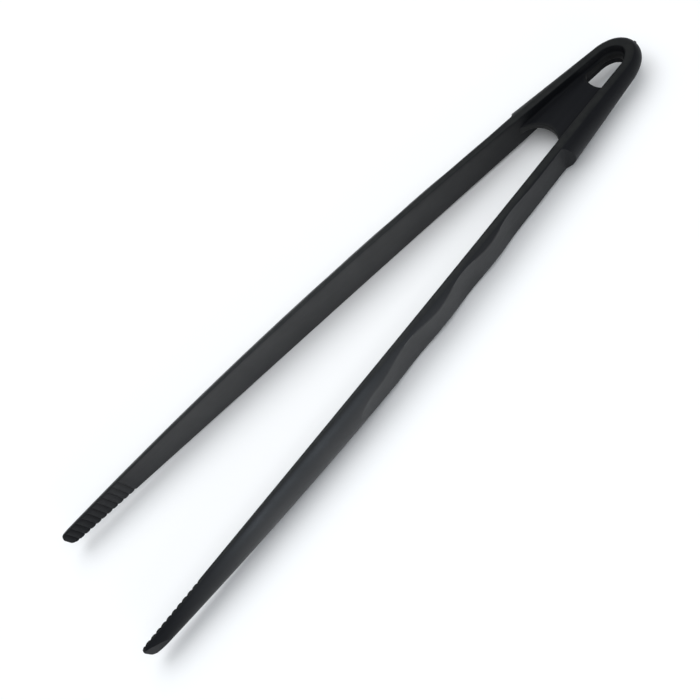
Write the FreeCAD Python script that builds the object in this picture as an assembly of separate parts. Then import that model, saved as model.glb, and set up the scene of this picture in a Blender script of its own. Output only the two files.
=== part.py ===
import FreeCAD, Part
import math
import os

# One-piece spring tongs, lying on their side: +X runs from the sprung head to the tips,
# Y is the direction in which the arms open, and Z is up from the surface they lie on.
# The origin is the bottom centre of the bounding box.  All lengths are in millimetres.
# "Station" is the distance from the outermost point of the head along X.

# Overall
OVERALL_LENGTH = 305.0
HEAD_END = 57.6            # station where the hoop stops and the arms begin
NECK_LENGTH = 16.0         # stretch of each arm that bends
TIP_HALF_GAP = 29.9        # from the centre plane to the inner face at the tip
HEAD_END_HALF_GAP = 10.0   # the same at the end of the head
ARM_BOW = 2.1              # how far the inner face bulges from its chord

# Heights of the strap, as halves, since it is the same above and below its middle
NOSE_HALF_HEIGHT = 5.2
BELLY_HALF_HEIGHT = 9.5
TIP_HALF_HEIGHT = 4.8
BELLY_STATION = 166.0

# Thickness of the strap at its middle height and at its two edges
HEAD_THICKNESS = 5.2       # next to the nose
HEAD_END_THICKNESS = 7.5   # where the shoulder has fallen away to the grip
ARM_START_THICKNESS = 5.9
BELLY_THICKNESS = 6.4
TIP_THICKNESS = 3.5
THICKEST_STATION = 117.0
HEAD_EDGE_THICKNESS = 2.5
TIP_EDGE_THICKNESS = 0.6

# Nose of the hoop
NOSE_THICKNESS = 6.7
NOSE_EDGE_THICKNESS = 2.9
NOSE_LENGTH = 6.6          # length of the rounded end of the space inside
NOSE_HALF_GAP = 5.35       # from the centre plane to the inner wall where that end stops
GATE_STUB_LENGTH = 0.8     # stub that the mould's gate leaves on the nose
GATE_STUB_RADIUS = 0.7

# Shoulder where the hoop's outer face drops to the grip
SHOULDER_LENGTH = 4.0
SHOULDER_LEAD = 0.6        # how far above the hoop's face its cutter starts

# Web across the inside of the hoop, with the hanging slot
WEB_THICKNESS = 3.4
WEB_END_RADIUS = 10.2      # hollow end that faces the tips
WEB_END_STATION = 49.8     # the web's shortest point, on the centre plane
SLOT_RIM = 1.0             # web left between the slot and the hoop
SLOT_END = 25.5            # station of the slot's far end
SLOT_END_DEPTH = 3.0       # how far that end bows out from its corners

# Finger waves in the outer face, as the thickness that is left
GRIP_START_THICKNESS = 3.5
FIRST_DIP_STATION = 89.2
DIP_THICKNESS = 3.1
CREST_THICKNESS = 4.3
DIP_GAIN = 0.15            # each dip is this much thicker than the last
CREST_GAIN = 0.3           # and each crest this much
FIRST_WAVE = 30.2          # dip to dip
SECOND_WAVE = 33.2
LAST_WAVE = 21.1           # dip to the last crest
RUN_OUT = 17.8             # from the last crest to where the waves end

# Teeth on the inner faces
TOOTH_PITCH = 3.0
TOOTH_COUNT = 11
TOOTH_DEPTH = 0.5
TOOTH_END_LAND = 1.4       # plain face left between the last groove and the end
JAW_START_LAND = 2.0       # plain face of the jaw before its first groove

# Tips
TIP_BEVEL_LENGTH = 9.4
TIP_BEVEL_THICKNESS = 1.2
TIP_CORNER_RADIUS = 3.0

# Working values
MID_Z = BELLY_HALF_HEIGHT
NECK_END = HEAD_END + NECK_LENGTH
ARM_RUN = OVERALL_LENGTH - HEAD_END
NOSE_APEX = GATE_STUB_LENGTH + NOSE_THICKNESS      # station of the inside of the nose
NOSE_END = NOSE_APEX + NOSE_LENGTH                 # station where the straight walls begin
WALL_POINTS = 6            # points that guide each wall of the head
SHOULDER_POINTS = 5        # points that guide the shoulder's S-curve
NOSE_POINTS = 9            # points that guide the nose
CROWN_LEVELS = 7           # outlines stacked up the crowned outer face
CROWN_LIMIT = 1.3          # keeps the crown's cut-away part above the low nose from crossing over
PROFILE_POINTS = 5         # points that guide the head's top edge in side view
TOOTH_OVERLAP = 0.07       # how far each groove starts in front of the inner face
ARM_SECTIONS = 6           # sections that shape each arm up to its belly, and beyond it
CUT_MARGIN = 2.0           # how far cutters reach past what they cut
REACH = 30.0               # outward reach of the cutters that trim the outer face


def x_of(station):
    """Row X of a station."""
    return station - OVERALL_LENGTH / 2


def stations_between(start, end, count):
    return [start + (end - start) * k / (count - 1) for k in range(count)]


def eased(station, start, end, start_value, end_value):
    """Quadratic run that leaves start level and reaches end_value at end."""
    share = (station - start) / (end - start)
    return start_value + (end_value - start_value) * share * share


def arm_half_gap(station):
    """Centre plane to inner face along an arm: its chord plus a parabolic bow."""
    share = (station - HEAD_END) / ARM_RUN
    chord = HEAD_END_HALF_GAP + (TIP_HALF_GAP - HEAD_END_HALF_GAP) * share
    return chord + 4 * ARM_BOW * share * (1 - share)


def wall_half_gap(station):
    """Straight inner wall of the head, from the nose to the start of the arm."""
    slope = (HEAD_END_HALF_GAP - NOSE_HALF_GAP) / (HEAD_END - NOSE_END)
    return HEAD_END_HALF_GAP + slope * (station - HEAD_END)


def half_height(station):
    if station <= BELLY_STATION:
        return eased(station, BELLY_STATION, 0, BELLY_HALF_HEIGHT, NOSE_HALF_HEIGHT)
    return eased(station, BELLY_STATION, OVERALL_LENGTH, BELLY_HALF_HEIGHT, TIP_HALF_HEIGHT)


HEAD_HALF_HEIGHT = half_height(HEAD_END)


def arm_thickness(station):
    if station <= THICKEST_STATION:
        return eased(station, THICKEST_STATION, HEAD_END, BELLY_THICKNESS, ARM_START_THICKNESS)
    return eased(station, THICKEST_STATION, OVERALL_LENGTH, BELLY_THICKNESS, TIP_THICKNESS)


def arm_edge_thickness(station):
    share = (station - HEAD_END) / ARM_RUN
    return HEAD_EDGE_THICKNESS + (TIP_EDGE_THICKNESS - HEAD_EDGE_THICKNESS) * share


def crowned_section(point, outward, height, middle, edge):
    """Closed D section: flat inner side, two edge lands and a crowned outer arc."""
    up = FreeCAD.Vector(0, 0, height)
    low_in = point - up
    high_in = point + up
    low_out = low_in + outward * edge
    high_out = high_in + outward * edge
    crown = Part.Arc(low_out, point + outward * middle, high_out).toShape()
    sides = [
        Part.makeLine(low_in, low_out),
        crown,
        Part.makeLine(high_out, high_in),
        Part.makeLine(high_in, low_in),
    ]
    return Part.Wire(sides)


def arm_section(station):
    """Section of the +Y arm, square to its inner face."""
    step = 0.01
    rise = (arm_half_gap(station + step) - arm_half_gap(station - step)) / (2 * step)
    outward = FreeCAD.Vector(-rise, 1, 0).normalize()
    point = FreeCAD.Vector(x_of(station), arm_half_gap(station), MID_Z)
    return crowned_section(
        point, outward, half_height(station), arm_thickness(station), arm_edge_thickness(station)
    )


def nose_point(turn):
    """Inner face of the nose: turn is 0 on the centre plane and 90 degrees at its end."""
    station = NOSE_APEX + NOSE_LENGTH * (1 - math.cos(abs(turn)))
    return FreeCAD.Vector(x_of(station), wall_half_gap(station) * math.sin(turn), MID_Z)


def nose_outward(turn):
    """Direction square to the inner face of the nose, away from the space inside."""
    step = 0.001
    along = nose_point(turn + step) - nose_point(turn - step)
    return FreeCAD.Vector(-along.y, along.x, 0).normalize()


def wall_point(station, side):
    return FreeCAD.Vector(x_of(station), wall_half_gap(station) * side, MID_Z)


def wall_outward(side):
    slope = wall_half_gap(1) - wall_half_gap(0)
    return FreeCAD.Vector(-slope, side, 0).normalize()


def crowned(middle, edge, station, rise):
    """Thickness at a height above the middle: a parabola from middle to edge thickness."""
    level = rise / half_height(station)
    return middle + (edge - middle) * min(level * level, CROWN_LIMIT)


def wall_thickness(station, rise):
    """Thickness of the hoop's straight wall, which grows towards the shoulder."""
    share = (station - NOSE_END) / (HEAD_END - NOSE_END)
    middle = HEAD_THICKNESS + (HEAD_END_THICKNESS - HEAD_THICKNESS) * share
    return crowned(middle, HEAD_EDGE_THICKNESS, station, rise)


def nose_thickness(turn, rise):
    """Thickness of the nose, which blends into the walls with the square of the cosine."""
    share = math.cos(turn) ** 2
    middle = HEAD_THICKNESS + (NOSE_THICKNESS - HEAD_THICKNESS) * share
    edge = HEAD_EDGE_THICKNESS + (NOSE_EDGE_THICKNESS - HEAD_EDGE_THICKNESS) * share
    station = NOSE_APEX + NOSE_LENGTH * (1 - math.cos(turn))
    return crowned(middle, edge, station, rise)


def head_curve(rise, offset_share):
    """Curve round the head from the -Y end over the nose to the +Y end.

    rise is its height above the middle.  The curve is the inner face when offset_share is
    0 and the outer face when it is 1.
    """
    stations = stations_between(HEAD_END + CUT_MARGIN, NOSE_END, WALL_POINTS)[:-1]
    up = FreeCAD.Vector(0, 0, rise)
    low = []
    high = []
    for station in stations:
        thickness = wall_thickness(station, rise) * offset_share
        low.append(wall_point(station, -1) + wall_outward(-1) * thickness)
        high.append(wall_point(station, 1) + wall_outward(1) * thickness)
    round_end = []
    for turn in stations_between(-math.pi / 2, math.pi / 2, NOSE_POINTS):
        thickness = nose_thickness(turn, rise) * offset_share
        round_end.append(nose_point(turn) + nose_outward(turn) * thickness)
    curve = Part.BSplineCurve()
    curve.interpolate([point + up for point in low + round_end + high[::-1]])
    edge = curve.toShape()
    closing = Part.makeLine(curve.EndPoint, curve.StartPoint)
    return Part.Wire([edge, closing])


def behind_head():
    """Block that takes away everything past the end of the head."""
    corner = FreeCAD.Vector(x_of(HEAD_END), -REACH, -CUT_MARGIN)
    return Part.makeBox(REACH, 2 * REACH, 2 * BELLY_HALF_HEIGHT + 2 * CUT_MARGIN, corner)


def head_inside():
    """Prism that fills the space inside the hoop over its full height."""
    floor = Part.Face(head_curve(-HEAD_HALF_HEIGHT, 0))
    prism = floor.extrude(FreeCAD.Vector(0, 0, 2 * HEAD_HALF_HEIGHT))
    return prism.cut(behind_head())


def above_head():
    """Everything above the head's top edge, which falls towards the nose."""
    points = []
    for station in stations_between(-CUT_MARGIN, HEAD_END + CUT_MARGIN, PROFILE_POINTS):
        points.append(FreeCAD.Vector(x_of(station), -REACH, MID_Z + half_height(station)))
    curve = Part.BSplineCurve()
    curve.interpolate(points)
    up = FreeCAD.Vector(0, 0, REACH)
    corners = [points[-1], points[-1] + up, points[0] + up, points[0]]
    face = Part.Face(Part.Wire([curve.toShape()] + Part.makePolygon(corners).Edges))
    return face.extrude(FreeCAD.Vector(0, 2 * REACH, 0))


def shoulder_cutter(side):
    """Everything outside the shoulder's S-curve, on the +Y side for 1 and the -Y side for -1."""
    points = []
    for share in stations_between(0, 1, SHOULDER_POINTS):
        station = HEAD_END - SHOULDER_LENGTH * (1 - share)
        fall = (1 - share) ** 2 * (1 + 2 * share)
        full = HEAD_END_THICKNESS + SHOULDER_LEAD
        left = GRIP_START_THICKNESS + (full - GRIP_START_THICKNESS) * fall
        points.append(wall_point(station, side) + wall_outward(side) * left)
    beyond = wall_point(HEAD_END + CUT_MARGIN, side) + wall_outward(side) * GRIP_START_THICKNESS
    out = FreeCAD.Vector(0, side * REACH, 0)
    curve = Part.BSplineCurve()
    curve.interpolate(points)
    corners = [points[-1], beyond, beyond + out, points[0] + out, points[0]]
    face = Part.Face(Part.Wire([curve.toShape()] + Part.makePolygon(corners).Edges))
    face.translate(FreeCAD.Vector(0, 0, -MID_Z - CUT_MARGIN))
    return face.extrude(FreeCAD.Vector(0, 0, 2 * BELLY_HALF_HEIGHT + 2 * CUT_MARGIN))


def gate_stub():
    """Small cone on the nose, sunk into it so that the two make one solid."""
    sunk = GATE_STUB_LENGTH + CUT_MARGIN
    start = FreeCAD.Vector(x_of(0), 0, MID_Z)
    wide = GATE_STUB_RADIUS + GATE_STUB_LENGTH / 2
    return Part.makeCone(GATE_STUB_RADIUS, wide, sunk, start, FreeCAD.Vector(1, 0, 0))


def spring_hoop():
    """U-shaped band: upright inner walls and nose, with a crowned outer face."""
    rises = stations_between(-HEAD_HALF_HEIGHT, HEAD_HALF_HEIGHT, CROWN_LEVELS)
    block = Part.makeLoft([head_curve(rise, 1) for rise in rises], True, False)
    above = above_head()
    below = above.mirror(FreeCAD.Vector(0, 0, MID_Z), FreeCAD.Vector(0, 0, 1))
    block = block.cut(above).cut(below).cut(shoulder_cutter(1)).cut(shoulder_cutter(-1))
    return block.cut(behind_head()).cut(head_inside()).fuse(gate_stub())


def head_web():
    """Plate at middle height that fills the hoop, with a hollow end and a hanging slot."""
    low = MID_Z - WEB_THICKNESS / 2
    corner = FreeCAD.Vector(x_of(0), -REACH, low)
    slab = Part.makeBox(HEAD_END, 2 * REACH, WEB_THICKNESS, corner)
    plate = head_inside().common(slab)
    end_centre = FreeCAD.Vector(x_of(WEB_END_STATION + WEB_END_RADIUS), 0, low - CUT_MARGIN)
    tall = WEB_THICKNESS + 2 * CUT_MARGIN
    plate = plate.cut(Part.makeCylinder(WEB_END_RADIUS, tall, end_centre))
    for cutter in hanging_slot(low - CUT_MARGIN, tall):
        plate = plate.cut(cutter)
    return plate


def hanging_slot(low, tall):
    """Cutters for the slot: it keeps one distance from the hoop and has a bowed far end."""
    outline = [wall_point(WEB_END_STATION, -1) - wall_outward(-1) * SLOT_RIM]
    for turn in stations_between(-math.pi / 2, math.pi / 2, NOSE_POINTS):
        outline.append(nose_point(turn) - nose_outward(turn) * SLOT_RIM)
    outline.append(wall_point(WEB_END_STATION, 1) - wall_outward(1) * SLOT_RIM)
    arch = Part.BSplineCurve()
    arch.interpolate(outline[1:-1])
    sides = [
        Part.makeLine(outline[0], outline[1]),
        arch.toShape(),
        Part.makeLine(outline[-2], outline[-1]),
        Part.makeLine(outline[-1], outline[0]),
    ]
    face = Part.Face(Part.Wire(sides))
    face.translate(FreeCAD.Vector(0, 0, low - MID_Z))
    room = face.extrude(FreeCAD.Vector(0, 0, tall))
    corner = SLOT_END - SLOT_END_DEPTH
    half_width = wall_half_gap(corner) - SLOT_RIM
    radius = (half_width ** 2 + SLOT_END_DEPTH ** 2) / (2 * SLOT_END_DEPTH)
    centre = FreeCAD.Vector(x_of(SLOT_END - radius), 0, low)
    start = FreeCAD.Vector(x_of(0), -REACH, low)
    nose_part = room.common(Part.makeBox(corner, 2 * REACH, tall, start))
    bowed_part = room.common(Part.makeCylinder(radius, tall, centre))
    return [nose_part, bowed_part]


def outer_point(station, thickness):
    """Point of the +Y arm that lies thickness outside its inner face, on the bottom plane."""
    step = 0.01
    rise = (arm_half_gap(station + step) - arm_half_gap(station - step)) / (2 * step)
    outward = FreeCAD.Vector(-rise, 1, 0).normalize()
    point = FreeCAD.Vector(x_of(station), arm_half_gap(station), -CUT_MARGIN)
    return point + outward * thickness


def finger_wave_points():
    """Stations and thicknesses that the finger waves pass through, from the head outwards."""
    dips = [FIRST_DIP_STATION, FIRST_DIP_STATION + FIRST_WAVE]
    dips.append(dips[-1] + SECOND_WAVE)
    crests = [(dips[0] + dips[1]) / 2, (dips[1] + dips[2]) / 2, dips[2] + LAST_WAVE]
    points = [(HEAD_END, GRIP_START_THICKNESS)]
    points.append(((HEAD_END + dips[0]) / 2, GRIP_START_THICKNESS))
    for order, (dip, crest) in enumerate(zip(dips, crests)):
        points.append((dip, DIP_THICKNESS + DIP_GAIN * order))
        points.append((crest, CREST_THICKNESS + CREST_GAIN * order))
    end = crests[-1] + RUN_OUT
    points.append((end, arm_thickness(end) + CUT_MARGIN))
    return points


def finger_wave_cutter():
    """Everything outside the finger waves of the +Y arm, as a prism along Z."""
    wave = [outer_point(station, left) for station, left in finger_wave_points()]
    before = outer_point(HEAD_END - CUT_MARGIN, GRIP_START_THICKNESS)
    curve = Part.BSplineCurve()
    curve.interpolate(wave)
    far_end = wave[-1] + FreeCAD.Vector(0, REACH, 0)
    far_start = before + FreeCAD.Vector(0, REACH, 0)
    sides = [
        Part.makeLine(before, wave[0]),
        curve.toShape(),
        Part.makeLine(wave[-1], far_end),
        Part.makeLine(far_end, far_start),
        Part.makeLine(far_start, before),
    ]
    height = 2 * BELLY_HALF_HEIGHT + 2 * CUT_MARGIN
    return Part.Face(Part.Wire(sides)).extrude(FreeCAD.Vector(0, 0, height))


def tooth_cutter(station):
    """One V groove across the inner face, its ridge line along Z."""
    half = TOOTH_PITCH / 2
    corners = [
        outer_point(station - half, -TOOTH_OVERLAP),
        outer_point(station, TOOTH_DEPTH),
        outer_point(station + half, -TOOTH_OVERLAP),
        outer_point(station, -CUT_MARGIN),
    ]
    face = Part.Face(Part.makePolygon(corners + [corners[0]]))
    return face.extrude(FreeCAD.Vector(0, 0, 2 * BELLY_HALF_HEIGHT + 2 * CUT_MARGIN))


def tip_bevel_cutter():
    """Thins the outer face over the last few millimetres of the tip."""
    start = OVERALL_LENGTH - TIP_BEVEL_LENGTH
    beyond = OVERALL_LENGTH + CUT_MARGIN
    fall = (TIP_THICKNESS - TIP_BEVEL_THICKNESS) * CUT_MARGIN / TIP_BEVEL_LENGTH
    first = outer_point(start, arm_thickness(start))
    last = outer_point(beyond, TIP_BEVEL_THICKNESS - fall)
    out = FreeCAD.Vector(0, REACH, 0)
    face = Part.Face(Part.makePolygon([first, last, last + out, first + out, first]))
    return face.extrude(FreeCAD.Vector(0, 0, 2 * BELLY_HALF_HEIGHT + 2 * CUT_MARGIN))


def tip_corner_cutter(side):
    """Rounds one corner of the tip as seen from the side; side is 1 above and -1 below."""
    radius = TIP_CORNER_RADIUS
    centre_x = x_of(OVERALL_LENGTH) - radius
    centre_z = MID_Z + side * (half_height(OVERALL_LENGTH) - radius)
    block = Part.makeBox(radius + CUT_MARGIN, REACH, radius + CUT_MARGIN)
    if side < 0:
        block.translate(FreeCAD.Vector(0, 0, -radius - CUT_MARGIN))
    block.translate(FreeCAD.Vector(centre_x, TIP_HALF_GAP - REACH / 2, centre_z))
    start = FreeCAD.Vector(centre_x, TIP_HALF_GAP - REACH, centre_z)
    return block.cut(Part.makeCylinder(radius, 2 * REACH, start, FreeCAD.Vector(0, 1, 0)))


def plane_block(station):
    """Block that holds everything of the +Y arm beyond a station."""
    corner = FreeCAD.Vector(x_of(station), 0, -CUT_MARGIN)
    length = OVERALL_LENGTH + REACH - station
    return Part.makeBox(length, 2 * REACH, 2 * BELLY_HALF_HEIGHT + 2 * CUT_MARGIN, corner)


def jaw_length():
    """The toothed end of an arm, from its first plain land to the tip."""
    return JAW_START_LAND + TOOTH_COUNT * TOOTH_PITCH + TOOTH_END_LAND


def neck():
    """Short trimmed stretch of the +Y arm that flexes."""
    start = HEAD_END - CUT_MARGIN
    sections = [arm_section(station) for station in stations_between(start, NECK_END, 3)]
    bar = Part.makeLoft(sections, True, False).cut(finger_wave_cutter())
    corner = FreeCAD.Vector(x_of(HEAD_END) - REACH, 0, -CUT_MARGIN)
    head_side = Part.makeBox(REACH, REACH, 2 * BELLY_HALF_HEIGHT + 2 * CUT_MARGIN, corner)
    return bar.cut(head_side)


def arm_and_jaw():
    """Long stiff stretch of the +Y arm, with finger waves, teeth and a bevelled tip."""
    stations = stations_between(NECK_END, BELLY_STATION, ARM_SECTIONS)[:-1]
    stations += stations_between(BELLY_STATION, OVERALL_LENGTH, ARM_SECTIONS)
    bar = Part.makeLoft([arm_section(station) for station in stations], True, False)
    bar = bar.cut(finger_wave_cutter())
    last_groove = OVERALL_LENGTH - TOOTH_END_LAND - TOOTH_PITCH / 2
    grooves = [tooth_cutter(last_groove - k * TOOTH_PITCH) for k in range(TOOTH_COUNT)]
    bar = bar.cut(Part.makeCompound(grooves))
    bar = bar.cut(tip_bevel_cutter())
    for side in (1, -1):
        bar = bar.cut(tip_corner_cutter(side))
    bar = bar.cut(plane_block(OVERALL_LENGTH))
    jaw_block = plane_block(OVERALL_LENGTH - jaw_length())
    return bar.cut(jaw_block), bar.common(jaw_block)


def mirrored(shape):
    """The same piece on the -Y side."""
    return shape.mirror(FreeCAD.Vector(0, 0, 0), FreeCAD.Vector(0, 1, 0))


def one_solid(shape, name):
    solids = [solid for solid in shape.Solids if solid.Volume > 0.01]
    if len(solids) != 1:
        raise ValueError(name + " came out as " + str(len(solids)) + " solids")
    return solids[0]


def build():
    right_neck = neck()
    right_arm, right_jaw = arm_and_jaw()
    return {
        "spring_hoop": spring_hoop(),
        "head_web": head_web(),
        "right_neck": right_neck,
        "left_neck": mirrored(right_neck),
        "right_arm": right_arm,
        "left_arm": mirrored(right_arm),
        "right_jaw": right_jaw,
        "left_jaw": mirrored(right_jaw),
    }


def main():
    os.makedirs("parts", exist_ok=True)
    for name, shape in build().items():
        solid = one_solid(shape, name)
        solid.exportStep("parts/" + name + ".step")
        box = solid.BoundBox
        print(
            name, round(solid.Volume, 1), solid.isValid(),
            [round(v, 2) for v in (box.XMin, box.XMax, box.YMin, box.YMax, box.ZMin, box.ZMax)],
        )


main()
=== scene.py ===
import math

import bpy
import numpy as np
from mathutils import Matrix, Vector


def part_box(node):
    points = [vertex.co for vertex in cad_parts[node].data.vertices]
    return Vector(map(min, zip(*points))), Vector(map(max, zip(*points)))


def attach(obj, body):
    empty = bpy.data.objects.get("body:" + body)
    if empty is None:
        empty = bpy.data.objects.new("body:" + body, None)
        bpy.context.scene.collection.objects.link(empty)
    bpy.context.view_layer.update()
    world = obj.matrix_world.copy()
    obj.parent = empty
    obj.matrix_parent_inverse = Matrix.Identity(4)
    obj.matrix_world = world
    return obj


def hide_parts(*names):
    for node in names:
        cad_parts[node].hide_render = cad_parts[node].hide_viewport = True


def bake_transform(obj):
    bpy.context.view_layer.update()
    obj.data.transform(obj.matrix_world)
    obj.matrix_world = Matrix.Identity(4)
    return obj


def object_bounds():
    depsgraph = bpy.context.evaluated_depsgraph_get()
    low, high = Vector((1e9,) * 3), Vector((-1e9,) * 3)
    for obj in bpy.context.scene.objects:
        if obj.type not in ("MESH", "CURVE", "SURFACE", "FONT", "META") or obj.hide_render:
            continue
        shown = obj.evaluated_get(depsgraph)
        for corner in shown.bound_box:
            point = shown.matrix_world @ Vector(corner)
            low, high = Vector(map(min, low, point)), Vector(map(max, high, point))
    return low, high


# Spring tongs, moulded in black nylon.  Shapes are worked out in millimetres and put into
# the meshes in metres; the floor and the lamps are placed in metres.  A station is a
# distance along +X from the broken-off end of the stub on the nose; Y is the direction in
# which the arms open; Z is up.

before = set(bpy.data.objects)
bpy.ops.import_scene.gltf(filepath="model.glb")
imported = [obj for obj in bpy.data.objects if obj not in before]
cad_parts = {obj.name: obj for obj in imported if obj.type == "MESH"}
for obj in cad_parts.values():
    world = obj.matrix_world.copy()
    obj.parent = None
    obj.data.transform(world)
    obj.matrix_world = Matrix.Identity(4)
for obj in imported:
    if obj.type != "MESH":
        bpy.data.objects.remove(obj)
cad_low, cad_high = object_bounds()

MM = 0.001


def box_mm(node):
    """Low and high corners of a frame node's box, in millimetres."""
    low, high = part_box(node)
    return np.array(low) / MM, np.array(high) / MM


# Sizes read from the frame
WEB_LOW, WEB_HIGH = box_mm("head_web")
START_X = cad_low.x / MM
LENGTH = (cad_high.x - cad_low.x) / MM
MID_Z = (cad_low.z + cad_high.z) / MM / 2
BELLY_HALF_HEIGHT = (cad_high.z - cad_low.z) / MM / 2
HEAD_END = box_mm("spring_hoop")[1][0] - START_X
NECK_END = box_mm("right_arm")[0][0] - START_X
JAW_START = box_mm("right_jaw")[0][0] - START_X
WEB_THICKNESS = WEB_HIGH[2] - WEB_LOW[2]

# Course of the strap, to its inner face
TIP_HALF_GAP = 29.9
HEAD_END_HALF_GAP = 10.0
ARM_BOW = 2.1
BELLY_STATION = 166.0

# Heights and thicknesses of the strap
NOSE_HALF_HEIGHT = 5.2
TIP_HALF_HEIGHT = 4.8
HEAD_THICKNESS = 5.2
HEAD_END_THICKNESS = 7.5
ARM_START_THICKNESS = 5.9
BELLY_THICKNESS = 6.4
TIP_THICKNESS = 3.5
THICKEST_STATION = 117.0
HEAD_EDGE_THICKNESS = 2.5
TIP_EDGE_THICKNESS = 0.6
NOSE_THICKNESS = 6.7
NOSE_EDGE_THICKNESS = 2.9
NOSE_LENGTH = 6.6
NOSE_HALF_GAP = 5.35
EDGE_ROUND = 0.55          # radius of the strap's four long edges
EDGE_SHARE = 0.38          # most of the top face's width that one such radius may take
MIN_CREASE_SHARE = 0.14    # least share of the height at which the crown meets the trim
CREASE_MARGIN = 0.2        # least distance from there to the rounded edge
GATE_STUB_LENGTH = 0.8     # how far the stub stands out of the nose
SKIN = 0.03                # how far the drawn outer face lies inside the frame's
NO_TRIM = 9                # added where no bevel is cut, to lift it clear of the crown

# Finger waves and the cove before them, as the thickness that is left
GRIP_START_THICKNESS = 3.5
SHOULDER_LENGTH = 4.0      # length of the cove where the head drops to the grip
SHOULDER_LEAD = 0.6        # how far above the hoop's face the cove starts
FIRST_DIP_STATION = 89.2
DIP_THICKNESS = 3.1
CREST_THICKNESS = 4.3
DIP_GAIN = 0.15            # each dip is this much thicker than the last
CREST_GAIN = 0.3
FIRST_WAVE = 30.2          # dip to dip
SECOND_WAVE = 33.2
LAST_WAVE = 21.1           # dip to the last crest
RUN_OUT = 17.8             # from the last crest to where the waves end
RUN_OUT_RISE = 1           # how far above the crown the trim is there
RUN_OUT_CAP = 3            # lengths of the run-out after which the trim stops rising

# Teeth and tips
TOOTH_PITCH = 3.0
TOOTH_COUNT = 11
TOOTH_DEPTH = 0.5
GROOVE_SHARPNESS = 1.4     # power in the groove's formula; higher is narrower
TOOTH_END_LAND = 1.4       # plain face left between the last groove and the end
TIP_BEVEL_LENGTH = 9.4
TIP_BEVEL_THICKNESS = 1.2
TIP_CORNER_RADIUS = 3.0
TIP_ROUND = 0.3            # radius round the end face

# Stub on the nose: its rings from the broken-off end to the foot inside the hoop
STUB_STATIONS = [0.06, 0.0, 0.02, 0.16, 0.45, 0.8, 1.3, 2.2, 2.2]
STUB_RADII = [0, 0.35, 0.58, 0.7, 0.76, 0.95, 1.25, 1.3, 0]
STUB_LOBES = 0.06          # height of three lobes round it, as a share of the radius
STUB_RIPPLE = 0.03         # height of five smaller ones
LOBE_TURN = 0.7            # how far the three are turned, in radians
STUB_WEAR = 0.6            # edge wear all over it

# Web
SLOT_RIM = 1.0             # web left between the slot and the hoop
SLOT_END = 25.5
SLOT_END_DEPTH = 3.0
WEB_END_STATION = 49.8
WEB_END_RADIUS = 10.2
WEB_END_SPAN = 0.96        # share of that radius at which the hollow meets the wall
WEB_EDGE_ROUND = 0.7
WEB_FILLET = 1.0
WEB_EMBED = 1.3            # how far the web reaches into the hoop

# Fineness of the meshes
NOSE_ROWS = 70
STUB_COLUMNS = 28
ROW_STEP = 0.6
MIDDLE_STEP = 0.32
FINE_STEP = 0.16
ROWS_PER_TOOTH = 18
END_ROUND_ROWS = 4
FACE_LEVELS = 7
CROWN_LEVELS = 11
CORNER_POINTS = 3
HOLLOW_ROWS = 60
WALL_ROWS = 50
WEB_NOSE_ROWS = 70
WEB_EDGE_LEVELS = 6
WEB_FACE_LEVELS = 28
SHARP_ANGLE = math.radians(40)

ARM_RUN = LENGTH - HEAD_END
NOSE_APEX = GATE_STUB_LENGTH + NOSE_THICKNESS
NOSE_END = NOSE_APEX + NOSE_LENGTH
WALL_SLOPE = (HEAD_END_HALF_GAP - NOSE_HALF_GAP) / (HEAD_END - NOSE_END)
SHOULDER_START = HEAD_END - SHOULDER_LENGTH


# ---------------------------------------------------------------- shape of the strap

def arm_half_gap(station):
    """Centre plane to inner face: a straight chord plus a parabola that bows it outwards."""
    share = (station - HEAD_END) / ARM_RUN
    chord = HEAD_END_HALF_GAP + (TIP_HALF_GAP - HEAD_END_HALF_GAP) * share
    return chord + 4 * ARM_BOW * share * (1 - share)


def wall_half_gap(station):
    """Straight inner wall of the head, from the nose to the start of the arm."""
    return HEAD_END_HALF_GAP + WALL_SLOPE * (station - HEAD_END)


def half_height(station):
    """Two parabolas that meet level at the belly, one to the nose and one to the tip."""
    to_nose = (BELLY_STATION - station) / BELLY_STATION
    to_tip = (station - BELLY_STATION) / (LENGTH - BELLY_STATION)
    nose_side = BELLY_HALF_HEIGHT + (NOSE_HALF_HEIGHT - BELLY_HALF_HEIGHT) * to_nose ** 2
    tip_side = BELLY_HALF_HEIGHT + (TIP_HALF_HEIGHT - BELLY_HALF_HEIGHT) * to_tip ** 2
    return np.where(station < BELLY_STATION, nose_side, tip_side)


def arm_thickness(station):
    """Thickness at middle height: parabolas from the thickest station, level there."""
    to_head = (THICKEST_STATION - station) / (THICKEST_STATION - HEAD_END)
    to_tip = (station - THICKEST_STATION) / (LENGTH - THICKEST_STATION)
    head_side = BELLY_THICKNESS + (ARM_START_THICKNESS - BELLY_THICKNESS) * to_head ** 2
    tip_side = BELLY_THICKNESS + (TIP_THICKNESS - BELLY_THICKNESS) * to_tip ** 2
    return np.where(station < THICKEST_STATION, head_side, tip_side)


def head_thickness(station):
    """Straight growth of the hoop's thickness from the nose to its shoulder."""
    share = np.clip((station - NOSE_END) / (HEAD_END - NOSE_END), 0, 1)
    return HEAD_THICKNESS + (HEAD_END_THICKNESS - HEAD_THICKNESS) * share


def edge_thickness(station):
    """Straight fall of the thickness at the top and bottom edges, from head to tip."""
    share = np.clip((station - HEAD_END) / ARM_RUN, 0, 1)
    return HEAD_EDGE_THICKNESS + (TIP_EDGE_THICKNESS - HEAD_EDGE_THICKNESS) * share


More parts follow.
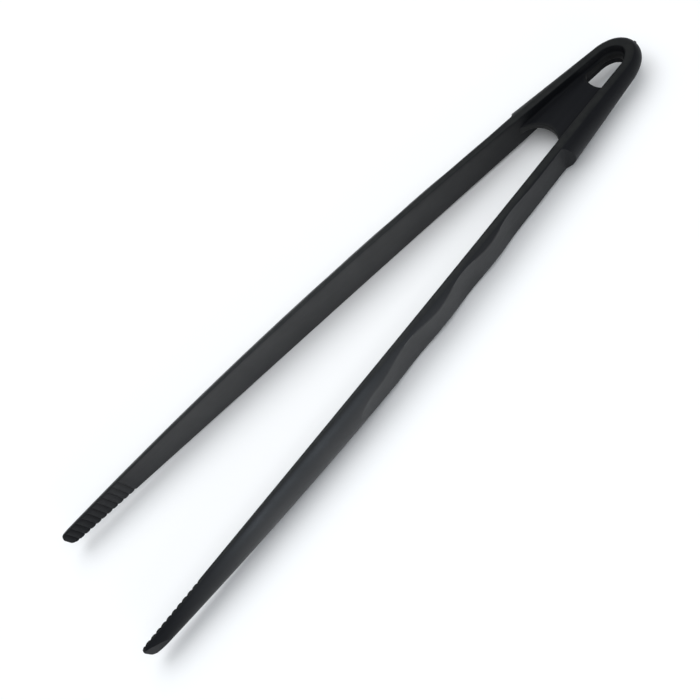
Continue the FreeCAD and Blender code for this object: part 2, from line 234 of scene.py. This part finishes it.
def shoulder_thickness(station):
    """S-curve from above the hoop's face down to the grip, where the head ends: the fall
    goes with (1 - share) squared times (1 + 2 share) of the cove's length."""
    share = np.clip((station - SHOULDER_START) / SHOULDER_LENGTH, 0, 1)
    fall = (1 - share) ** 2 * (1 + 2 * share)
    full = HEAD_END_THICKNESS + SHOULDER_LEAD
    return GRIP_START_THICKNESS + (full - GRIP_START_THICKNESS) * fall


def wave_points():
    """Stations and thicknesses of the dips and crests, from the head outwards."""
    first = FIRST_DIP_STATION
    dips = [first, first + FIRST_WAVE, first + FIRST_WAVE + SECOND_WAVE]
    crests = [(dips[0] + dips[1]) / 2, (dips[1] + dips[2]) / 2, dips[2] + LAST_WAVE]
    stations = [HEAD_END, (HEAD_END + first) / 2]
    left = [GRIP_START_THICKNESS, GRIP_START_THICKNESS]
    for order in range(len(dips)):
        stations += [dips[order], crests[order]]
        left += [DIP_THICKNESS + DIP_GAIN * order, CREST_THICKNESS + CREST_GAIN * order]
    return np.array(stations), np.array(left)


def wave_thickness(station):
    """Half cosines from dip to crest and back, then a parabola that rises past the crown."""
    stations, left = wave_points()
    here = np.clip(np.searchsorted(stations, station) - 1, 0, len(stations) - 2)
    share = np.clip((station - stations[here]) / (stations[here + 1] - stations[here]), 0, 1)
    wave = left[here] + (left[here + 1] - left[here]) * (1 - np.cos(math.pi * share)) / 2
    past = np.clip((station - stations[-1]) / RUN_OUT, 0, RUN_OUT_CAP)
    rise = arm_thickness(stations[-1] + RUN_OUT) + RUN_OUT_RISE - left[-1]
    return np.where(station > stations[-1], left[-1] + rise * past ** 2, wave)


def bevel_thickness(station):
    """Straight fall from the full thickness to the thin end of the tip."""
    share = np.clip((station - LENGTH + TIP_BEVEL_LENGTH) / TIP_BEVEL_LENGTH, 0, 1)
    full = arm_thickness(LENGTH - TIP_BEVEL_LENGTH)
    return full + (TIP_BEVEL_THICKNESS - full) * share


def tooth_recess(station):
    """Rounded ridges with narrow grooves: depth times (1 - |sin|) to a power."""
    last_groove = LENGTH - TOOTH_END_LAND - TOOTH_PITCH / 2
    turn = (station - last_groove) / TOOTH_PITCH
    inside = (turn < 0.5) & (turn > 0.5 - TOOTH_COUNT)
    groove = (1 - np.abs(np.sin(math.pi * turn))) ** GROOVE_SHARPNESS
    return np.where(inside, TOOTH_DEPTH * groove, 0)


def arm_stations():
    """Stations of the rows from the end of the head to the tip, closer where detail is."""
    teeth_end = LENGTH - TOOTH_END_LAND
    teeth_start = teeth_end - TOOTH_COUNT * TOOTH_PITCH
    stops = [
        (HEAD_END, None),
        (NECK_END, ROW_STEP),
        (JAW_START, ROW_STEP),
        (teeth_start, MIDDLE_STEP),
        (teeth_end, TOOTH_PITCH / ROWS_PER_TOOTH),
        (LENGTH - TIP_ROUND, FINE_STEP),
    ]
    runs = [np.array([HEAD_END])]
    for (start, _), (end, step) in zip(stops, stops[1:]):
        count = max(1, round((end - start) / step))
        runs.append(np.linspace(start, end, count + 1)[1:])
    round_end = np.sin(np.linspace(0, math.pi / 2, END_ROUND_ROWS + 1)[1:])
    runs.append(LENGTH - TIP_ROUND + TIP_ROUND * round_end)
    return np.concatenate(runs)


def half_strap():
    """Rows of the +Y half, from the centre of the nose to the tip.

    Each row has the point on the inner face, the direction square to it, and the sizes
    of the section there.  The nose is an arch, station = apex + length (1 - cos turn) and
    y = wall gap times sin turn; its thickness changes with the square of cos turn.  Behind
    the shoulder the crown starts as high as the hoop's, above the trim, and comes down to
    the arm's by the square of the distance left to the end of the neck.  At the tip, a
    quarter circle takes the height down at the corners, and a smaller one rounds the end.
    """
    turn = np.linspace(0, math.pi / 2, NOSE_ROWS)
    arch = NOSE_APEX + NOSE_LENGTH * (1 - np.cos(turn))
    blend = np.cos(turn) ** 2
    wall_count = round((SHOULDER_START - NOSE_END) / ROW_STEP)
    cove_count = round(SHOULDER_LENGTH / FINE_STEP)
    wall = np.concatenate([
        np.linspace(NOSE_END, SHOULDER_START, wall_count)[1:],
        np.linspace(SHOULDER_START, HEAD_END, cove_count)[1:]])
    head = np.concatenate([arch, wall])
    arm = arm_stations()[1:]
    station = np.concatenate([head, arm])
    inner_y = np.concatenate([
        wall_half_gap(arch) * np.sin(turn), wall_half_gap(wall), arm_half_gap(arm)])
    along_x = np.concatenate([NOSE_LENGTH * np.sin(turn), np.ones(len(wall) + len(arm))])
    arch_rise = wall_half_gap(arch) * np.cos(turn) + WALL_SLOPE * NOSE_LENGTH * np.sin(turn) ** 2
    share = (arm - HEAD_END) / ARM_RUN
    arm_rise = (TIP_HALF_GAP - HEAD_END_HALF_GAP + 4 * ARM_BOW * (1 - 2 * share)) / ARM_RUN
    along_y = np.concatenate([arch_rise, np.full(len(wall), WALL_SLOPE), arm_rise])
    size = np.hypot(along_x, along_y)
    head_middle = head_thickness(head)
    head_middle[:NOSE_ROWS] += (NOSE_THICKNESS - HEAD_THICKNESS) * blend
    head_edge = np.full(len(head_middle), HEAD_EDGE_THICKNESS)
    head_edge[:NOSE_ROWS] += (NOSE_EDGE_THICKNESS - HEAD_EDGE_THICKNESS) * blend
    near_head = np.clip((NECK_END - arm) / (NECK_END - HEAD_END), 0, 1)
    hidden_crown = (HEAD_END_THICKNESS - ARM_START_THICKNESS) * near_head ** 2
    middle = np.concatenate([head_middle, arm_thickness(arm) + hidden_crown]) - SKIN
    edge = np.concatenate([head_edge, edge_thickness(arm)])
    bevel = bevel_thickness(arm) + (arm < LENGTH - TIP_BEVEL_LENGTH) * NO_TRIM
    trim_arm = np.minimum(wave_thickness(arm), bevel)
    trim = np.concatenate([shoulder_thickness(head), trim_arm]) - SKIN
    full_height = half_height(station)
    corner = np.clip(station - LENGTH + TIP_CORNER_RADIUS, 0, TIP_CORNER_RADIUS)
    cut = TIP_CORNER_RADIUS - np.sqrt(TIP_CORNER_RADIUS ** 2 - corner ** 2)
    end = np.clip(station - LENGTH + TIP_ROUND, 0, TIP_ROUND)
    shrink = TIP_ROUND - np.sqrt(TIP_ROUND ** 2 - end ** 2)
    return {
        "station": station, "y": inner_y,
        "out_x": -along_y / size, "out_y": along_x / size,
        "full_height": full_height, "height": full_height - cut - shrink,
        "middle": middle, "edge": edge, "trim": trim - shrink,
        "recess": tooth_recess(station) + shrink,
    }


def whole_strap():
    """The -Y half reversed and mirrored, then the +Y half: one run from tip to tip."""
    half = half_strap()
    whole = {key: np.concatenate([value[:0:-1], value]) for key, value in half.items()}
    count = len(half["station"])
    side = np.concatenate([-np.ones(count - 1), np.ones(count)])
    whole["y"] = whole["y"] * side
    whole["out_y"] = whole["out_y"] * side
    whole["side"] = side
    return whole


def rounded_corner(start, corner, end, count):
    """Points of a quadratic curve from start to end that is pulled towards the corner."""
    t = np.linspace(0, 1, count + 2)[1:-1]
    return start * (1 - t) ** 2 + corner * 2 * t * (1 - t) + end * t ** 2


def strap_sections(rows):
    """D-shaped loops, one a row, as offsets from the inner face and heights.

    Upper half: the flat inner face, a rounded edge, the narrow top face, a rounded edge,
    the crown as an arc of a circle, and the stretch where the trim is lower than the arc.
    The lower half is its mirror image.  The third array marks the edges, for the wear.
    """
    column = {key: value[:, None] for key, value in rows.items()}
    height, recess, trim = column["height"], column["recess"], column["trim"]
    rise = column["middle"] - column["edge"]
    radius = (column["full_height"] ** 2 + rise ** 2) / (2 * rise)

    def crown(z):
        """Offset of the outer face at height z: the arc, or the trim where it is lower."""
        arc = column["middle"] - radius + np.sqrt(np.maximum(radius ** 2 - z ** 2, 0))
        return np.minimum(arc, trim)

    top_out = crown(height)
    soft = np.minimum(EDGE_ROUND, EDGE_SHARE * (top_out - recess))
    face_levels = np.linspace(0, 1, FACE_LEVELS)
    offsets = [recess + 0 * face_levels]
    heights = [(height - soft) * face_levels]
    marks = [0 * face_levels + 0 * height]
    offsets.append(rounded_corner(recess, recess, recess + soft, CORNER_POINTS))
    heights.append(rounded_corner(height - soft, height, height, CORNER_POINTS))
    offsets.append(np.hstack([recess + soft, top_out - soft]))
    heights.append(np.hstack([height, height]))
    shoulder = crown(height - soft)
    offsets.append(rounded_corner(top_out - soft, top_out, shoulder, CORNER_POINTS))
    heights.append(rounded_corner(height, height, height - soft, CORNER_POINTS))
    marks.append(np.ones((len(height), 2 * CORNER_POINTS + 2)))
    inside = radius - column["middle"] + trim
    crease = np.sqrt(np.maximum(radius ** 2 - np.maximum(inside, 0) ** 2, 0))
    crease = np.clip(crease, MIN_CREASE_SHARE * height, height - soft - CREASE_MARGIN)
    down = np.linspace(0, 1, CROWN_LEVELS + 1)[:-1]
    crown_z = (height - soft) + (crease - height + soft) * down
    offsets.append(crown(crown_z))
    heights.append(crown_z)
    flat_z = crease * face_levels[::-1]
    offsets.append(crown(flat_z))
    heights.append(flat_z)
    marks.append(0 * crown_z)
    marks.append(0 * flat_z)
    upper_out, upper_z, upper_mark = (np.hstack(part) for part in (offsets, heights, marks))
    loop_out = np.hstack([upper_out, upper_out[:, -2:0:-1]])
    loop_z = np.hstack([upper_z, -upper_z[:, -2:0:-1]])
    loop_mark = np.hstack([upper_mark, upper_mark[:, -2:0:-1]])
    return loop_out, loop_z, loop_mark


def strap_surface(rows):
    """Grid of points: row point plus offset along its outward direction, at each height."""
    out, z, mark = strap_sections(rows)
    x = START_X + rows["station"][:, None] + rows["out_x"][:, None] * out
    y = rows["y"][:, None] + rows["out_y"][:, None] * out
    return np.stack([x, y, MID_Z + z], -1), mark


# ---------------------------------------------------------------- meshes

def grid_faces(rows, columns, close_rows=False):
    """Quads of a grid whose columns close into a loop.  They face outwards on the strap; the
    web and the stub run the other way round, and turn theirs over."""
    count = rows if close_rows else rows - 1
    i = np.arange(count)[:, None]
    j = np.arange(columns)[None, :]
    next_i = (i + 1) % rows
    next_j = (j + 1) % columns
    quads = [i * columns + j, next_i * columns + j, next_i * columns + next_j, i * columns + next_j]
    return np.stack(quads, -1).reshape(-1, 4)


def make_piece(name, points, faces, wear):
    """Nylon mesh object at the origin, in metres, smooth but for its sharp edges."""
    mesh = bpy.data.meshes.new(name)
    mesh.from_pydata((points * MM).tolist(), [], faces)
    mesh.update()
    mesh.polygons.foreach_set("use_smooth", np.ones(len(mesh.polygons), bool))
    mesh.set_sharp_from_angle(angle=SHARP_ANGLE)
    attribute = mesh.attributes.new("edge_wear", "FLOAT", "POINT")
    attribute.data.foreach_set("value", wear.astype(np.float32))
    piece = bpy.data.objects.new(name, mesh)
    bpy.context.scene.collection.objects.link(piece)
    mesh.materials.append(nylon)
    return piece


def strap_piece(name, grid, mark, start, end):
    """Closed length of the strap between two rows, with flat ends."""
    part = grid[start:end + 1]
    rows, columns = part.shape[:2]
    faces = grid_faces(rows, columns).tolist()
    faces.append(list(range(columns)))
    faces.append(list(range(rows * columns - 1, (rows - 1) * columns - 1, -1)))
    return make_piece(name, part.reshape(-1, 3), faces, mark[start:end + 1].reshape(-1))


# ---------------------------------------------------------------- web of the head

def wall_distance(station, y):
    """How far inside the hoop's inner wall a point is: exact on the straight walls, and
    on the nose the arch's level function divided by its gradient."""
    straight = (wall_half_gap(station) - np.abs(y)) / math.hypot(1, WALL_SLOPE)
    along = (NOSE_END - station) / NOSE_LENGTH
    across = y / wall_half_gap(station)
    level = 1 - along ** 2 - across ** 2
    slope = 2 * np.hypot(along / NOSE_LENGTH, across / wall_half_gap(station))
    return np.where(station < NOSE_END, level / np.maximum(slope, 1e-6), straight)


def arch_points(turn, inset):
    """The nose's inner face moved inset towards the inside of the hoop."""
    station = NOSE_APEX + NOSE_LENGTH * (1 - np.cos(turn))
    y = wall_half_gap(station) * np.sin(turn)
    along_x = NOSE_LENGTH * np.sin(turn)
    along_y = wall_half_gap(station) * np.cos(turn) + WALL_SLOPE * along_x * np.sin(turn)
    size = np.hypot(along_x, along_y)
    return np.stack([station + along_y / size * inset, y - along_x / size * inset], -1)


def wall_points(station, side, inset):
    """One straight wall of the head moved inset, square to itself, towards the inside."""
    size = math.hypot(1, WALL_SLOPE)
    x = station + WALL_SLOPE / size * inset
    y = side * (wall_half_gap(station) - inset / size)
    return np.stack([x, y], -1)


def web_surface():
    """Closed ring-shaped grid between the slot and the outline of the web.

    Outline and slot have the same number of points, in matching runs: the far end, one
    wall, the nose and the other wall.  The far end of the outline is an arc of a circle,
    which makes the web hollow there, and that of the slot is half an ellipse.  Each section
    runs up the slot's wall, over its rounded edge, along the top, over the rounded outer
    edge and back underneath.  Near the hoop the faces rise as a quarter circle of the
    fillet's radius.
    """
    across = np.linspace(-1, 1, HOLLOW_ROWS)
    lap = across * math.asin(WEB_END_SPAN)
    end_station = WEB_END_STATION + WEB_END_RADIUS * (1 - np.cos(lap))
    corner_station = end_station[-1]
    hollow_end = np.stack([end_station, WEB_END_RADIUS * np.sin(lap)], -1)
    along = np.linspace(0, 1, WALL_ROWS, endpoint=False)
    slot_wall_end = SLOT_END - SLOT_END_DEPTH
    outer_run = corner_station + (NOSE_END - corner_station) * along
    slot_run = slot_wall_end + (NOSE_END - slot_wall_end) * along
    turn = np.linspace(math.pi / 2, -math.pi / 2, WEB_NOSE_ROWS, endpoint=False)
    slot_half = wall_half_gap(slot_wall_end) - SLOT_RIM
    swing = across * math.pi / 2 * (1 - 1 / HOLLOW_ROWS)
    slot_end = np.stack([slot_wall_end + SLOT_END_DEPTH * np.cos(swing),
                         slot_half * np.sin(swing)], -1)
    outline = np.vstack([
        hollow_end,
        wall_points(outer_run, 1, -WEB_EMBED),
        arch_points(turn, -WEB_EMBED),
        wall_points(outer_run, -1, -WEB_EMBED)[::-1],
    ])
    slot = np.vstack([
        slot_end,
        wall_points(slot_run, 1, SLOT_RIM),
        arch_points(turn, SLOT_RIM),
        wall_points(slot_run, -1, SLOT_RIM)[::-1],
    ])
    gap = outline - slot
    length = np.hypot(gap[:, 0], gap[:, 1])[:, None]
    half = WEB_THICKNESS / 2
    bend = np.linspace(0, math.pi / 2, WEB_EDGE_LEVELS)
    turn_in = WEB_EDGE_ROUND * (1 - np.cos(bend))
    turn_up = half - WEB_EDGE_ROUND + WEB_EDGE_ROUND * np.sin(bend)
    ease = (1 - np.cos(np.linspace(0, math.pi, WEB_FACE_LEVELS + 2)[1:-1])) / 2
    flat = WEB_EDGE_ROUND + (length - 2 * WEB_EDGE_ROUND) * ease
    upper_run = np.hstack([turn_in + 0 * length, flat, length - turn_in[::-1]])
    upper_z = np.hstack([turn_up, half + 0 * ease, turn_up[::-1]]) + 0 * length
    run = np.hstack([upper_run, upper_run[:, ::-1]])
    z = np.hstack([upper_z, -upper_z[:, ::-1]])
    points = slot[:, None, :] + (gap / length)[:, None, :] * run[..., None]
    distance = wall_distance(points[..., 0], points[..., 1])
    near = np.clip(WEB_FILLET - distance, 0, WEB_FILLET)
    rise = WEB_FILLET - np.sqrt(WEB_FILLET ** 2 - near ** 2)
    z = z * (1 + rise / half)
    edge = np.exp(-(np.minimum(run, length - run) / WEB_EDGE_ROUND) ** 2)
    return np.stack([START_X + points[..., 0], points[..., 1], MID_Z + z], -1), edge


def head_web():
    """Web with its slot and hollow end, as one closed mesh."""
    grid, edge = web_surface()
    rows, columns = grid.shape[:2]
    faces = grid_faces(rows, columns, close_rows=True)[:, ::-1].tolist()
    return make_piece("web", grid.reshape(-1, 3), faces, edge.reshape(-1))


def gate_stub():
    """Lobed rings about the X axis, from the broken-off end to the foot sunk into the hoop.
    The radius goes with 1 plus two sines of the turn, and a point closes each end."""
    station = np.array(STUB_STATIONS)
    radius = np.array(STUB_RADII)
    turn = np.linspace(0, 2 * math.pi, STUB_COLUMNS, endpoint=False)
    lobe = 1 + STUB_LOBES * np.sin(3 * turn + LOBE_TURN) + STUB_RIPPLE * np.sin(5 * turn)
    ring = radius[1:-1, None] * lobe
    x = START_X + station[1:-1, None] + 0 * turn
    grid = np.stack([x, ring * np.cos(turn), MID_Z + ring * np.sin(turn)], -1).reshape(-1, 3)
    ends = [[START_X + station[0], 0, MID_Z], [START_X + station[-1], 0, MID_Z]]
    rows = len(station) - 2
    faces = grid_faces(rows, STUB_COLUMNS)[:, ::-1].tolist()
    last = (rows - 1) * STUB_COLUMNS
    for j in range(STUB_COLUMNS):
        after = (j + 1) % STUB_COLUMNS
        faces.append([after, j, len(grid)])
        faces.append([len(grid) + 1, last + j, last + after])
    wear = np.full(len(grid) + len(ends), STUB_WEAR)
    return make_piece("gate_stub", np.vstack([grid, ends]), faces, wear)


# ---------------------------------------------------------------- black nylon

HEAD_SHEEN = 0.06          # specular level on the head and at the tips
HANDLED_SHEEN = 0.42       # what the handled stretch adds to it


def add_node(tree, kind, inputs=None, **settings):
    """Shader node with its settings and the values of its unlinked inputs."""
    node = tree.nodes.new(kind)
    for key, value in settings.items():
        setattr(node, key, value)
    for key, value in (inputs or {}).items():
        node.inputs[key].default_value = value
    return node


def black_nylon():
    """Satin moulded nylon: spark-eroded grain, faint flow streaks along the arms, blotches
    in the gloss, slightly paler edges where drawers rub it, and a livelier sheen on the
    handled stretch of the arms than on the head and the washed-out tips."""
    material = bpy.data.materials.new("black_nylon")
    material.use_nodes = True
    tree = material.node_tree
    link = tree.links.new
    surface = tree.nodes["Principled BSDF"]
    surface.inputs["IOR"].default_value = 1.53
    place = add_node(tree, "ShaderNodeTexCoord")
    grain = add_node(tree, "ShaderNodeTexNoise", {"Scale": 2600.0, "Detail": 3.0, "Roughness": 0.6})
    link(place.outputs["Object"], grain.inputs["Vector"])
    stretch = add_node(tree, "ShaderNodeMapping", {"Scale": (22.0, 420.0, 420.0)})
    link(place.outputs["Object"], stretch.inputs["Vector"])
    streaks = add_node(tree, "ShaderNodeTexNoise", {"Scale": 1.0, "Detail": 5.0, "Roughness": 0.65})
    link(stretch.outputs["Vector"], streaks.inputs["Vector"])
    blotch = add_node(tree, "ShaderNodeTexNoise", {"Scale": 55.0, "Detail": 4.0, "Roughness": 0.55})
    link(place.outputs["Object"], blotch.inputs["Vector"])
    wear = add_node(tree, "ShaderNodeAttribute", attribute_name="edge_wear")
    rub_noise = add_node(tree, "ShaderNodeTexNoise", {"Scale": 300.0, "Detail": 4.0})
    link(place.outputs["Object"], rub_noise.inputs["Vector"])
    rub = add_node(tree, "ShaderNodeMath", operation="MULTIPLY")
    link(wear.outputs["Fac"], rub.inputs[0])
    link(rub_noise.outputs["Fac"], rub.inputs[1])

    axes = add_node(tree, "ShaderNodeSeparateXYZ")
    link(place.outputs["Object"], axes.inputs["Vector"])
    past_head = add_node(tree, "ShaderNodeMapRange", {
        "From Min": -0.135, "From Max": 0.01}, interpolation_type="SMOOTHSTEP")
    link(axes.outputs["X"], past_head.inputs["Value"])
    before_tip = add_node(tree, "ShaderNodeMapRange", {
        "From Min": 0.150, "From Max": 0.080}, interpolation_type="SMOOTHSTEP")
    link(axes.outputs["X"], before_tip.inputs["Value"])
    handled = add_node(tree, "ShaderNodeMath", operation="MULTIPLY")
    link(past_head.outputs["Result"], handled.inputs[0])
    link(before_tip.outputs["Result"], handled.inputs[1])
    sheen = add_node(
        tree, "ShaderNodeMath", {1: HANDLED_SHEEN, 2: HEAD_SHEEN}, operation="MULTIPLY_ADD")
    link(handled.outputs["Value"], sheen.inputs[0])
    link(sheen.outputs["Value"], surface.inputs["Specular IOR Level"])

    body = add_node(tree, "ShaderNodeMix", data_type="RGBA")
    body.inputs["A"].default_value = (0.006, 0.0064, 0.0075, 1)
    body.inputs["B"].default_value = (0.0105, 0.0112, 0.013, 1)
    link(streaks.outputs["Fac"], body.inputs["Factor"])
    worn = add_node(tree, "ShaderNodeMix", data_type="RGBA")
    worn.inputs["B"].default_value = (0.021, 0.022, 0.021, 1)
    link(rub.outputs["Value"], worn.inputs["Factor"])
    link(body.outputs["Result"], worn.inputs["A"])
    link(worn.outputs["Result"], surface.inputs["Base Color"])

    gloss = add_node(tree, "ShaderNodeMapRange", {
        "From Min": 0.3, "From Max": 0.7, "To Min": 0.40, "To Max": 0.52})
    link(blotch.outputs["Fac"], gloss.inputs["Value"])
    streak_gloss = add_node(tree, "ShaderNodeMath", {1: 0.10, 2: -0.05}, operation="MULTIPLY_ADD")
    link(streaks.outputs["Fac"], streak_gloss.inputs[0])
    roughness = add_node(tree, "ShaderNodeMath", operation="ADD")
    link(gloss.outputs["Result"], roughness.inputs[0])
    link(streak_gloss.outputs["Value"], roughness.inputs[1])
    link(roughness.outputs["Value"], surface.inputs["Roughness"])

    skin = add_node(tree, "ShaderNodeBump", {"Strength": 0.16, "Distance": 0.00012})
    link(grain.outputs["Fac"], skin.inputs["Height"])
    flow = add_node(tree, "ShaderNodeBump", {"Strength": 0.10, "Distance": 0.0004})
    link(streaks.outputs["Fac"], flow.inputs["Height"])
    link(skin.outputs["Normal"], flow.inputs["Normal"])
    link(flow.outputs["Normal"], surface.inputs["Normal"])
    return material


# ---------------------------------------------------------------- floor, lights, camera

FLOOR_REACH = 4.0
FLOOR_COLOUR = (0.89, 0.895, 0.90, 1)
FLOOR_ROUGHNESS = 0.7
SKY_COLOUR = (0.93, 0.96, 1.0, 1)
SKY_STRENGTH = 0.20
WARM_WHITE = (1.0, 0.985, 0.96)
COOL_WHITE = (0.97, 0.985, 1.0)
PALE_BLUE = (0.80, 0.90, 1.0)

CAMERA_PLACE = (30.05, 183.46, 329.44)     # millimetres
CAMERA_YAW = math.radians(184.147)
CAMERA_DOWN = math.radians(60.542)
CAMERA_ROLL = math.radians(-42.651)
CAMERA_LENS = 47.84
CAMERA_SENSOR = 36.0


def pale_floor():
    """Large sheet that the tongs lie on."""
    low, high = -FLOOR_REACH, FLOOR_REACH
    corners = [(low, low, 0), (high, low, 0), (high, high, 0), (low, high, 0)]
    mesh = bpy.data.meshes.new("floor")
    mesh.from_pydata(corners, [], [(0, 1, 2, 3)])
    floor = bpy.data.objects.new("floor", mesh)
    bpy.context.scene.collection.objects.link(floor)
    paper = bpy.data.materials.new("paper")
    paper.use_nodes = True
    surface = paper.node_tree.nodes["Principled BSDF"]
    surface.inputs["Base Color"].default_value = FLOOR_COLOUR
    surface.inputs["Roughness"].default_value = FLOOR_ROUGHNESS
    mesh.materials.append(paper)


def soft_box(name, place, aim, size, power, colour, mirrored=True):
    """Rectangular light; one that isn't mirrored adds no highlight, like a polarised lamp."""
    light = bpy.data.lights.new(name, "AREA")
    light.shape = "RECTANGLE"
    light.size, light.size_y = size
    light.energy = power
    light.color = colour
    lamp = bpy.data.objects.new(name, light)
    lamp.location = place
    lamp.rotation_mode = "QUATERNION"
    lamp.rotation_quaternion = (Vector(aim) - Vector(place)).to_track_quat("-Z", "Y")
    lamp.visible_glossy = mirrored
    bpy.context.scene.collection.objects.link(lamp)


def studio_light():
    """Even sky, two broad lamps that add no highlight and two small bluish ones that do."""
    world = bpy.data.worlds.new("studio")
    world.use_nodes = True
    sky = world.node_tree.nodes["Background"]
    sky.inputs["Color"].default_value = SKY_COLOUR
    sky.inputs["Strength"].default_value = SKY_STRENGTH
    bpy.context.scene.world = world
    soft_box("key", place=(-0.10, -0.50, 0.90), aim=(0, 0, 0), size=(0.9, 0.9), power=2.6,
             colour=WARM_WHITE, mirrored=False)
    soft_box("overhead", place=(0, 0, 1.3), aim=(0, 0, 0), size=(2.6, 2.6), power=29.0,
             colour=COOL_WHITE, mirrored=False)
    soft_box("side_fill", place=(0.12, 0.75, 0.25), aim=(0.08, 0.03, 0.01),
             size=(0.40, 0.30), power=1.1, colour=PALE_BLUE)
    soft_box("window", place=(0.19, -0.40, 0.90), aim=(0.08, 0.02, 0.02),
             size=(0.26, 0.40), power=0.55, colour=PALE_BLUE)


def camera_axes(yaw, down, roll):
    """Right, up and forward of a camera that looks along yaw, tilts down, then rolls."""
    forward = np.array([
        math.cos(down) * math.sin(yaw), math.cos(down) * math.cos(yaw), -math.sin(down)])
    right = np.cross(forward, (0, 0, 1))
    right /= np.linalg.norm(right)
    up = np.cross(right, forward)
    rolled_right = right * math.cos(roll) + up * math.sin(roll)
    rolled_up = up * math.cos(roll) - right * math.sin(roll)
    return rolled_right, rolled_up, forward


def camera():
    """Hand-held view from above the +Y arm, rolled so that the tongs lie corner to corner."""
    data = bpy.data.cameras.new("camera")
    data.sensor_width = CAMERA_SENSOR
    data.lens = CAMERA_LENS
    eye = bpy.data.objects.new("camera", data)
    right, up, forward = camera_axes(CAMERA_YAW, CAMERA_DOWN, CAMERA_ROLL)
    turn = Matrix([[right[k], up[k], -forward[k]] for k in range(3)])
    eye.matrix_world = Matrix.Translation(Vector(CAMERA_PLACE) * MM) @ turn.to_4x4()
    bpy.context.scene.collection.objects.link(eye)
    bpy.context.scene.camera = eye


# ---------------------------------------------------------------- the tongs

def build_tongs():
    """Seven lengths of one strap, the web and the stub; each but the two necks is put on the
    body that it moves with, and the necks are put on none."""
    rows = whole_strap()
    grid, mark = strap_surface(rows)
    signed = rows["station"] * rows["side"]
    stops = [-LENGTH, -JAW_START, -NECK_END, -HEAD_END, HEAD_END, NECK_END, JAW_START, LENGTH]
    at = [int(np.argmin(np.abs(signed - stop))) for stop in stops]
    names = [
        "left_jaw", "left_arm", "left_neck", "spring_hoop",
        "right_neck", "right_arm", "right_jaw",
    ]
    made = {}
    for name, start, end in zip(names, at, at[1:]):
        piece = strap_piece("moulded_" + name, grid, mark, start, end)
        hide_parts(name)
        made[name] = piece
    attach(made["spring_hoop"], "head")
    for side, sign in (("left", -1), ("right", 1)):
        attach(made[side + "_arm"], side + "_lever")
        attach(made[side + "_jaw"], side + "_lever")
        start = (START_X + HEAD_END, sign * HEAD_END_HALF_GAP, MID_Z)
        end = (START_X + NECK_END, sign * float(arm_half_gap(NECK_END)), MID_Z)
        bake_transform(made[side + "_neck"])
    web = head_web()
    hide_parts("head_web")
    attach(web, "head")
    stub = gate_stub()
    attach(stub, "head")


nylon = black_nylon()
build_tongs()
pale_floor()
studio_light()
camera()
bpy.context.scene.view_settings.view_transform = "Standard"
